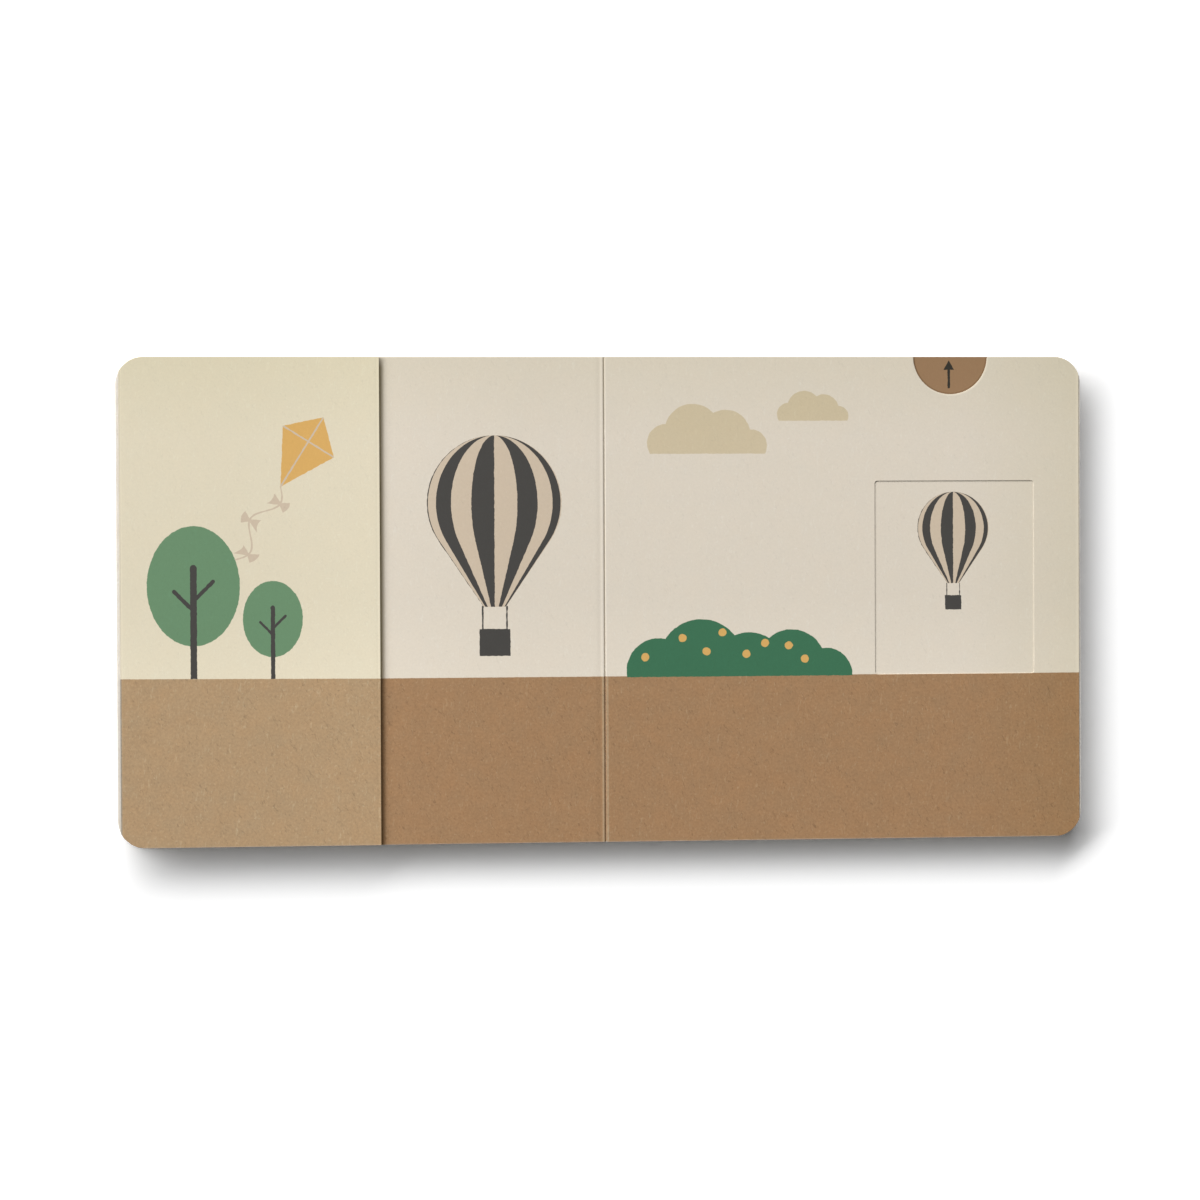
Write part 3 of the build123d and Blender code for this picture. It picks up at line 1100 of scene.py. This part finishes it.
def window_loops(size):
    """Outer and inner edge of the right page's front sheet, as loops with the same number of points.

    Both run anticlockwise from the head of the gutter. The outer one is the page outline with the thumb
    notch, cut off at the sheet's fore-edge, in six runs. The inner one is the rounded window, parted at
    its corners and above the notch, so that each run has its own share of it.
    """
    radius = size.corner_radius
    fore_x = WINDOW_HIGH[0]
    centre_x = PAGE_WIDTH - size.window_margin - size.window_width / 2
    sill_y = size.window_sill - HALF_HEIGHT
    notch_x = centre_x - size.notch_offset
    corner_x = PAGE_WIDTH - radius
    corner_y = HALF_HEIGHT - radius
    meets = math.degrees(math.acos((fore_x - corner_x) / radius))
    cut = size.cut_corner
    near_gutter = GUTTER_X + cut
    head_cut = HALF_HEIGHT - cut
    slant = math.degrees(math.asin(cut / (size.notch_radius + cut)))
    notch_reach = (size.notch_radius + cut) * math.cos(math.radians(slant))
    gutter_edge = [
        arc((near_gutter, head_cut), cut, 90, 180),
        arc((near_gutter, -head_cut), cut, 180, 270),
    ]
    fore_edge = [
        arc((corner_x, -corner_y), radius, -90, -meets),
        arc((corner_x, corner_y), radius, meets, 90),
    ]
    notch = [
        arc((notch_x + notch_reach, head_cut), cut, 90, 180 - slant),
        arc((notch_x, HALF_HEIGHT), size.notch_radius, -slant, slant - 180, 60),
        arc((notch_x - notch_reach, head_cut), cut, slant, 90),
    ]
    runs = [
        np.concatenate(gutter_edge),
        np.array([(near_gutter, -HALF_HEIGHT), (corner_x, -HALF_HEIGHT)]),
        np.concatenate(fore_edge),
        np.array([(corner_x, HALF_HEIGHT), (notch_x + notch_reach, HALF_HEIGHT)]),
        np.concatenate(notch),
        np.array([(notch_x - notch_reach, HALF_HEIGHT), (near_gutter, HALF_HEIGHT)]),
    ]
    half = size.window_width / 2
    top_y = sill_y + size.window_height
    left_x, right_x = centre_x - half, centre_x + half
    rounding = size.window_corner
    top_left, foot_left, foot_right, top_right = (
        arc((x, y), rounding, start, start + 90, CORNER_STEPS)
        for x, y, start in (
            (left_x + rounding, top_y - rounding, 90),
            (left_x + rounding, sill_y + rounding, 180),
            (right_x - rounding, sill_y + rounding, 270),
            (right_x - rounding, top_y - rounding, 0),
        )
    )
    over_notch = size.window_width / 6
    parting = CORNER_STEPS // 2
    parts = [
        np.concatenate([top_left[parting:], foot_left[:parting + 1]]),
        np.concatenate([foot_left[parting:], foot_right[:parting + 1]]),
        np.concatenate([foot_right[parting:], top_right[:parting + 1]]),
        np.concatenate([top_right[parting:], [(centre_x + over_notch, top_y)]]),
        np.array([(centre_x + over_notch, top_y), (centre_x - over_notch, top_y)]),
        np.concatenate([[(centre_x - over_notch, top_y)], top_left[:parting + 1]]),
    ]
    shares = graded(28)
    outer = np.concatenate([along(run, shares) for run in runs])
    inner = np.concatenate([along(part, shares) for part in parts])
    return outer, inner


def window_surface(size):
    """The right page's front sheet: straight lines from the window to the outer edge, with rounded rims.

    Rows go up the window's wall, over its rim, across the face, over the outer rim and down to the base.
    The outer rim is a quarter circle, drawn out to a wider ellipse at the gutter. The face rises a little
    along the fore-edge.
    Gives the points and the finish of each face, which is 0 for print and 1 for bare board.
    """
    outer, inner = window_loops(size)
    base = WINDOW_LOW[2]
    out_in = inward(outer)
    in_out = -inward(inner)
    faces_gutter = np.where(outer[:, :1] < PAGE_WIDTH / 2, np.clip(out_in[:, :1], 0, 1) ** 2, 0)
    outer_rim = size.sheet_rim + (size.gutter_lip - size.sheet_rim) * faces_gutter
    outer_drop = size.sheet_rim + (size.sheet_drop - size.sheet_rim) * faces_gutter
    turn = np.radians(np.linspace(0, 90, 7))[:, None, None]
    rim_up = inner + size.sheet_rim * (1 - np.cos(turn)) * in_out
    rim_up_z = PAGE_LEVEL - size.sheet_rim * (1 - np.sin(turn)) + 0 * rim_up[..., :1]
    rim_down = outer + outer_rim * (1 - np.sin(turn)) * out_in
    rim_down_z = PAGE_LEVEL - outer_drop * (1 - np.cos(turn))
    start, stop = rim_up[-1], rim_down[0]
    reach = np.hypot(*(stop - start).T)[:, None]
    from_rim = np.concatenate([np.linspace(0.12, FINE_RUN, 30), [7.0, 12.0]])[::-1, None, None]
    from_window = np.array([0.15, 0.4, 1.0])[:, None, None]
    window_share, rim_share = 0.2, 0.7
    near_window = start + (stop - start) * np.minimum(from_window / reach, window_share)
    near_outer = stop - (stop - start) * np.minimum(from_rim / reach, rim_share * from_rim / from_rim.max())
    middle = near_window[-1] + (near_outer[0] - near_window[-1]) * np.linspace(0, 1, 14)[1:-1, None, None]
    face = np.concatenate([near_window, middle, near_outer])
    face_z = PAGE_LEVEL + fore_edge_burr(face[..., :1], size)
    foot_z = np.full((1, len(outer), 1), base)
    rows = [inner[None], rim_up, face, rim_down, outer[None]]
    heights = [foot_z, rim_up_z, face_z, rim_down_z + fore_edge_burr(rim_down[..., :1], size), foot_z]
    points = np.concatenate([np.concatenate(rows), np.concatenate(heights)], axis=-1)
    printed, bare = 0, 1
    finish = np.full(len(points), printed)
    finish[0] = bare
    finish[-2:] = bare
    return points, np.repeat(finish[:, None], len(outer), axis=1)


def fore_edge_burr(x, size):
    """Rise of the right page along its fore-edge, half a bell curve that ends at the edge."""
    return size.edge_burr * bell(x, WINDOW_HIGH[0], size.edge_burr_width)


def board_stack(outline, centre, levels, rim, groove, shifts):
    """A stack of boards as one closed surface: a profile carried round an outline that runs anticlockwise.

    The profile starts at the middle of the foot, climbs each board's edge with rounded rims, dips into a
    groove between boards and ends at the middle of the top. It is set in from the outline along the
    outline's normals, no further than the box round the outline, and each board's part is moved by its own
    small shift.
    """
    inset = [groove]
    height = [levels[0]]
    moved = [shifts[0]]
    turn = np.radians(np.linspace(0, 90, 6))
    for foot, top, shift in zip(levels[:-1], levels[1:], shifts):
        inset += list(rim * (1 - np.sin(turn))) + list(rim * (1 - np.cos(turn))) + [groove]
        height += list(foot + rim * (1 - np.cos(turn))) + list(top - rim + rim * np.sin(turn)) + [top]
        moved += [shift] * (2 * len(turn) + 1)
    inset = np.array(inset)[:, None, None]
    flat = np.clip(outline + inward(outline) * inset, outline.min(0) + inset, outline.max(0) - inset)
    flat = flat + np.array(moved)[:, None, :]
    edge = np.concatenate([flat, np.array(height)[:, None, None] + 0 * flat[..., :1]], axis=-1)
    middle = np.broadcast_to(centre, outline.shape)
    foot_pole = np.concatenate([middle, np.full((len(outline), 1), levels[0])], axis=-1)
    top_pole = np.concatenate([middle, np.full((len(outline), 1), levels[-1])], axis=-1)
    return np.concatenate([foot_pole[None], edge, top_pole[None]])


# Operators


def dress(piece, body, node):
    """Puts a finished piece on its body, in place of the solid that it stands for."""
    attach(piece, body)
    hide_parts(node)


def coat(node, material):
    """Gives a solid that stays its finish."""
    for material_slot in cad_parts[node].material_slots:
        material_slot.material = material


class BOARDBOOK_OT_covers(bpy.types.Operator):
    """Finish both covers and the guide, and make the paper that joins the halves in the gutter"""

    bl_idname = "boardbook.covers"
    bl_label = "Covers and spine"

    def execute(self, context):
        size = in_mm(context.scene.book_sizes)
        colours = context.scene.book_colours
        stock = cover_stock(colours)
        for node in ("front_cover", "back_cover"):
            coat(node, stock)
        coat("slide_guide", cut_board(colours))
        play, foot, short = 0.01, 1.0, 0.1
        half = size.spine_skin / 2
        reach = GUTTER_X - half - play
        crest = PAGE_LEVEL - size.gutter_depth - reach
        leg = np.linspace(foot, crest, 12)[:-1]
        bend = arc((0.0, crest), reach, 180, 0, 24)
        left = np.stack([np.full(len(leg), -reach), leg], axis=-1)
        path = np.concatenate([left, bend, left[::-1] * (-1, 1)])
        out = np.concatenate([
            np.tile([-1.0, 0.0], (len(leg), 1)),
            (bend - (0.0, crest)) / reach,
            np.tile([1.0, 0.0], (len(leg), 1)),
        ])
        thickness = np.full(len(path), half)
        points, side = folded_sheet(
            path, out, thickness, thickness, lambda place: 0 * place + HALF_HEIGHT - short, half / 2
        )
        page_side, spine_side = 0, 1
        faces = np.tile(np.where(side == 0, page_side, spine_side), (len(points) - 1, 1))
        materials = [gutter_print(colours, size.ground_line - HALF_HEIGHT), spine_paper(colours)]
        skin = new_piece("spine_skin", points, materials, faces, round_columns=True)
        level = crest * MM
        turning = (reach - half) * MM
        -turning
        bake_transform(skin)
        return {"FINISHED"}


class BOARDBOOK_OT_leaves(bpy.types.Operator):
    """Make the leaves of both halves, with a groove between leaves and each leaf trimmed a little short"""

    bl_idname = "boardbook.leaves"
    bl_label = "Leaves"

    def execute(self, context):
        size = in_mm(context.scene.book_sizes)
        colours = context.scene.book_colours
        seed, leaf_count, inner_corner = 11, 3, 0.2
        draw = np.random.default_rng(seed)
        for name, node, body, mirror in (
            ("left_leaves", "left_pages", "front_half", -1),
            ("right_leaves", "right_pages", "back_half", 1),
        ):
            low, high = STACKS[node]
            inner_x = min(abs(low[0]), abs(high[0]))
            box = [(inner_x, -HALF_HEIGHT), (PAGE_WIDTH, -HALF_HEIGHT), (PAGE_WIDTH, HALF_HEIGHT),
                   (inner_x, HALF_HEIGHT)]
            radii = (inner_corner, size.corner_radius, size.corner_radius, inner_corner)
            outline = rounded_polygon(box, radii)
            levels = np.linspace(low[2], high[2], leaf_count + 1)
            shifts = -size.leaf_stagger * draw.random((leaf_count, 2)) * (1, 0)
            shifts[-1] = 0
            centre = ((inner_x + PAGE_WIDTH) / 2, 0.0)
            points = board_stack(outline, centre, levels, size.leaf_rim, size.leaf_groove, shifts)
            points[..., 0] *= mirror
            faces = np.zeros((len(points) - 1, len(outline)), int)
            edges = leaf_edges(f"{name}_edges", colours, low[2], high[2], levels[1] - levels[0])
            piece = new_piece(name, points, [edges], faces, round_columns=True)
            dress(piece, body, node)
        return {"FINISHED"}


class BOARDBOOK_OT_gatefold(bpy.types.Operator):
    """Make the left page and its flap from one folded card"""

    bl_idname = "boardbook.gatefold"
    bl_label = "Gatefold leaf"

    def execute(self, context):
        size = in_mm(context.scene.book_sizes)
        colours = context.scene.book_colours
        ground_y = size.ground_line - HALF_HEIGHT
        points, side, fold_start, fold_stop = gatefold_surface(size)
        page, flap, bare = 0, 1, 2
        faces = np.full((len(points) - 1, len(side)), bare)
        section = np.arange(len(points) - 1)[:, None]
        faces[(side == 0) & (section > 0) & (section < fold_stop)] = page
        faces[(side == 2) & (section >= fold_start) & (section < len(points) - 2)] = flap
        materials = [
            left_page_print(colours, ground_y, size.flap_edge),
            flap_print(colours, ground_y, size.flap_edge),
            cut_board(colours),
        ]
        piece = new_piece("gatefold_sheet", points, materials, faces, round_columns=True)
        dress(piece, "front_half", "gatefold_leaf")
        return {"FINISHED"}


class BOARDBOOK_OT_window_sheet(bpy.types.Operator):
    """Make the right page's front sheet with its window and thumb notch"""

    bl_idname = "boardbook.window_sheet"
    bl_label = "Window sheet"

    def execute(self, context):
        size = in_mm(context.scene.book_sizes)
        colours = context.scene.book_colours
        points, faces = window_surface(size)
        notch_x = PAGE_WIDTH - size.window_margin - size.window_width / 2 - size.notch_offset
        ground_y = size.ground_line - HALF_HEIGHT
        materials = [right_page_print(colours, ground_y, notch_x, size.notch_radius), cut_board(colours)]
        piece = new_piece("window_sheet", points, materials, faces, round_rows=True, round_columns=True)
        dress(piece, "back_half", "window_page")
        return {"FINISHED"}


class BOARDBOOK_OT_pull_card(bpy.types.Operator):
    """Make the pull card with its wider foot"""

    bl_idname = "boardbook.pull_card"
    bl_label = "Pull card"

    def execute(self, context):
        size = in_mm(context.scene.book_sizes)
        colours = context.scene.book_colours
        left, foot, base = CARD_LOW
        right, head, top = CARD_HIGH
        step, shoulder = size.shoulder_step, foot + size.shoulder_height
        corner_points = [
            (left, foot), (right, foot), (right, shoulder), (right - step, shoulder),
            (right - step, head), (left + step, head), (left + step, shoulder), (left, shoulder),
        ]
        small = 0.3
        inset = 0.8 * small
        radii = (small, small, small, small, size.card_corner, size.card_corner, small, small)
        outline = rounded_polygon(corner_points, radii)
        centre = ((left + right) / 2, (foot + shoulder) / 2)
        levels = np.array([base, top + size.card_rise])
        points = board_stack(outline, centre, levels, size.sheet_rim, inset, np.zeros((1, 2)))
        printed, bare, printed_rows = 0, 1, 4
        faces = np.full((len(points) - 1, len(outline)), bare)
        faces[-printed_rows:] = printed
        arrow_x = centre[0] - size.notch_offset
        ground_y = size.ground_line - HALF_HEIGHT
        materials = [pull_card_print(colours, ground_y, arrow_x, size.notch_radius), cut_board(colours)]
        piece = new_piece("pull_card_sheet", points, materials, faces, round_columns=True)
        dress(piece, "pull_card", "pull_card")
        return {"FINISHED"}


# Side of the floor in metres, its colour for the light that falls on it, and the camera's sensor in mm
FLOOR_SIDE = 6.0
FLOOR_COLOUR = 0.8
SENSOR_WIDTH = 36.0


class BOARDBOOK_OT_stage(bpy.types.Operator):
    """Make the floor, the lamp, the surrounding light and the camera"""

    bl_idname = "boardbook.stage"
    bl_label = "Stage"

    def execute(self, context):
        scene = context.scene
        stage = scene.book_stage
        scene.view_settings.view_transform = "Standard"
        half = FLOOR_SIDE / 2
        mesh = bpy.data.meshes.new("floor")
        square = [(-half, -half, 0), (half, -half, 0), (half, half, 0), (-half, half, 0)]
        mesh.from_pydata(square, [], [(0, 1, 2, 3)])
        mesh.materials.append(white_floor(stage.floor_shown))
        floor = bpy.data.objects.new("floor", mesh)
        scene.collection.objects.link(floor)
        level = math.cos(stage.lamp_height)
        aim = Vector((-math.sin(stage.lamp_bearing) * level, math.cos(stage.lamp_bearing) * level,
                      math.sin(stage.lamp_height)))
        light = bpy.data.lights.new("key_lamp", "AREA")
        light.shape = "RECTANGLE"
        light.size = stage.lamp_width
        light.size_y = stage.lamp_depth
        turn = aim.to_track_quat("Z", "Y")
        sides = (stage.lamp_width, stage.lamp_depth)
        light.energy = stage.key_light * math.pi**2 / lamp_view(aim, turn, stage.lamp_distance, sides)
        lamp = bpy.data.objects.new("key_lamp", light)
        lamp.location = aim * stage.lamp_distance
        lamp.rotation_euler = turn.to_euler()
        lamp.visible_camera = False
        scene.collection.objects.link(lamp)
        scene.world = surround(stage.fill_light)
        camera_data = bpy.data.cameras.new("camera")
        camera_data.lens = stage.focal_length
        camera_data.sensor_width = SENSOR_WIDTH
        camera = bpy.data.objects.new("camera", camera_data)
        camera.location = stage.camera_place
        camera.rotation_euler = Euler(stage.camera_turn, "XYZ")
        scene.collection.objects.link(camera)
        scene.camera = camera
        return {"FINISHED"}


def lamp_view(aim, turn, distance, sides):
    """Mean, over the lamp's face, of both cosines over the squared distance to the middle of the book."""
    count = 24
    across, up = np.meshgrid(*(((np.arange(count) + 0.5) / count - 0.5) * side for side in sides))
    axes = np.array(turn.to_matrix())
    place = np.array(aim) * distance + across[..., None] * axes[:, 0] + up[..., None] * axes[:, 1]
    reach = np.linalg.norm(place, axis=-1)
    return np.mean((place[..., 2] / reach) * (place @ np.array(aim) / reach) / reach**2)


def white_floor(shown):
    """Floor that the camera sees as white where it is lit, with the book's shadow, and pale to light."""
    nodes = Nodes(bpy.data.materials.new("white_floor"))
    shades = [
        nodes.node("ShaderNodeBsdfDiffuse", {}, {"Color": (level, level, level, 1.0)}).outputs[0]
        for level in (FLOOR_COLOUR, shown)
    ]
    pale, white = (Field(nodes, shade) for shade in shades)
    both = nodes.node("ShaderNodeMixShader", {}, {0: nodes.seen(), 1: pale, 2: white})
    nodes.node("ShaderNodeOutputMaterial", {}, {"Surface": Field(nodes, both.outputs[0])})
    return nodes.owner


def surround(fill):
    """Even light from all round at the fill's level, which the camera sees as white."""
    nodes = Nodes(bpy.data.worlds.new("surround"))
    sky = nodes.node("ShaderNodeBackground", {}, {"Strength": nodes.seen() * (1.0 - fill) + fill})
    nodes.node("ShaderNodeOutputWorld", {}, {"Surface": Field(nodes, sky.outputs[0])})
    return nodes.owner


class BOARDBOOK_PT_panel(bpy.types.Panel):
    """Lists the pieces of the book and the stage."""

    bl_idname = "BOARDBOOK_PT_panel"
    bl_label = "Board book"
    bl_space_type = "VIEW_3D"
    bl_region_type = "UI"
    bl_category = "Board book"

    def draw(self, context):
        for operator in OPERATORS:
            self.layout.operator(operator.bl_idname)
        for group in (context.scene.book_sizes, context.scene.book_colours, context.scene.book_stage):
            column = self.layout.column(align=True)
            for name in group.__annotations__:
                column.prop(group, name)


GROUPS = {"book_sizes": BookSizes, "book_colours": BookColours, "book_stage": StageLight}
OPERATORS = (
    BOARDBOOK_OT_covers,
    BOARDBOOK_OT_leaves,
    BOARDBOOK_OT_gatefold,
    BOARDBOOK_OT_window_sheet,
    BOARDBOOK_OT_pull_card,
    BOARDBOOK_OT_stage,
)
CLASSES = (*GROUPS.values(), *OPERATORS, BOARDBOOK_PT_panel)


def register():
    for each in CLASSES:
        bpy.utils.register_class(each)
    for name, group in GROUPS.items():
        setattr(bpy.types.Scene, name, PointerProperty(type=group))


def unregister():
    for name in GROUPS:
        delattr(bpy.types.Scene, name)
    for each in reversed(CLASSES):
        bpy.utils.unregister_class(each)


def main():
    register()
    bpy.ops.boardbook.covers()
    bpy.ops.boardbook.leaves()
    bpy.ops.boardbook.gatefold()
    bpy.ops.boardbook.window_sheet()
    bpy.ops.boardbook.pull_card()
    bpy.ops.boardbook.stage()


if __name__ == "__main__":
    main()
